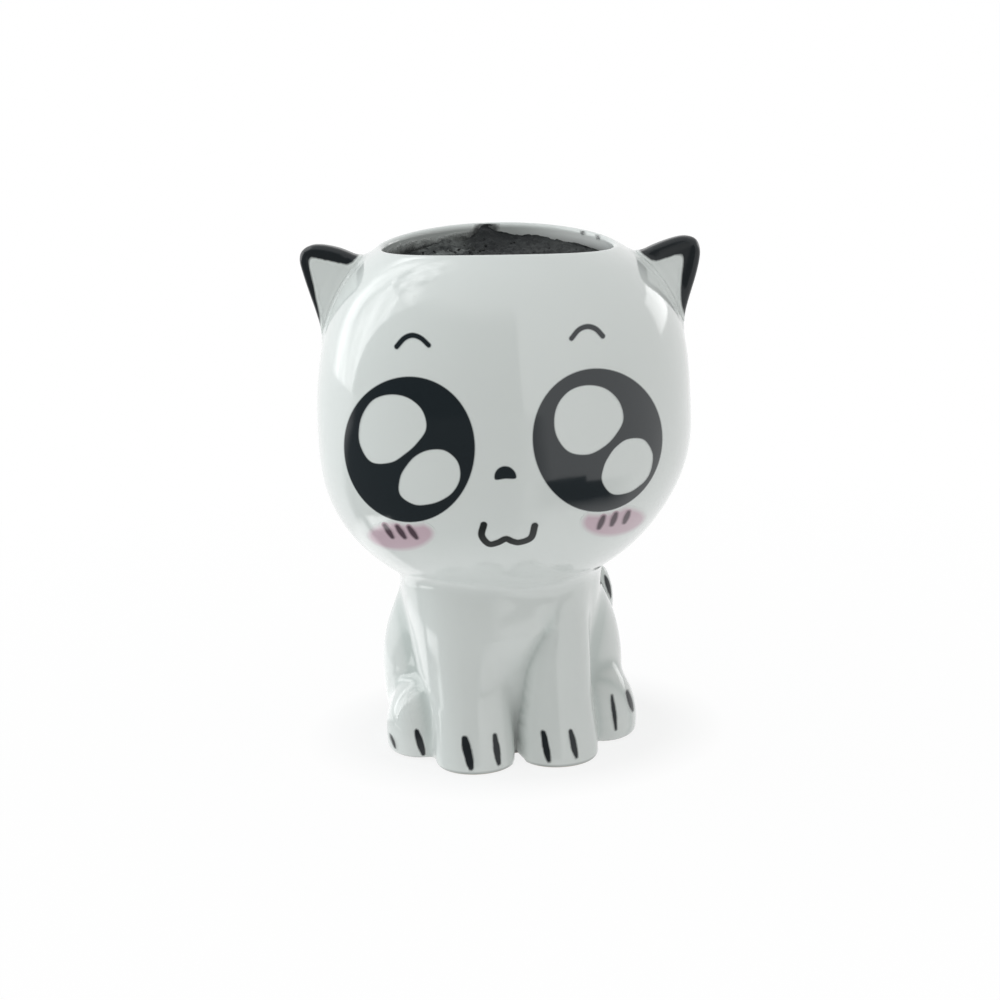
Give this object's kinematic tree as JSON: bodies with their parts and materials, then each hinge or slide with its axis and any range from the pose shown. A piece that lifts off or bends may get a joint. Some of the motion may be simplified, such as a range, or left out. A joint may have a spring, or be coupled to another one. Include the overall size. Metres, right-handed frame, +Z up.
{
  "type": "ceramic cat planter",
  "caption": "Glazed ceramic planter shaped as a seated cat: the open-crowned head is the bowl, on a hollow body with a drain hole, with painted face, ears, claws and tail.",
  "frame": {"origin": "on the axis of the head's mouth, at the plane that the paws stand on", "axes": "+Z up, -Y the way the cat looks, +X to the cat's left"},
  "size_m": [0.1024, 0.0955, 0.1289],
  "materials": {
    "white_glaze": "gloss",
    "black_glaze": "gloss",
    "eye_transfer": "gloss",
    "blush": "gloss",
    "blush_stroke": "gloss",
    "potting_soil": "matte"
  },
  "bodies": {
    "root": {"body_base": "white_glaze", "brow_left": "black_glaze", "brow_right": "black_glaze", "cheek_left": "blush", "cheek_right": "blush", "cheek_stroke_left_1": "blush_stroke", "cheek_stroke_left_2": "blush_stroke", "cheek_stroke_left_3": "blush_stroke", "cheek_stroke_right_1": "blush_stroke", "cheek_stroke_right_2": "blush_stroke", "cheek_stroke_right_3": "blush_stroke", "claw_front_left_inner": "black_glaze", "claw_front_left_outer": "black_glaze", "claw_front_right_inner": "black_glaze", "claw_front_right_outer": "black_glaze", "claw_hind_left_inner": "black_glaze", "claw_hind_left_outer": "black_glaze", "claw_hind_right_inner": "black_glaze", "claw_hind_right_outer": "black_glaze", "ear_edge_left": "black_glaze", "ear_edge_right": "black_glaze", "ear_left": "white_glaze", "ear_right": "white_glaze", "eye_left": "eye_transfer", "eye_right": "eye_transfer", "head_bowl": "white_glaze", "mouth": "black_glaze", "nose": "black_glaze", "potting_soil": "potting_soil", "tail": "white_glaze", "tail_mark": "black_glaze"}
  },
  "joints": []
}
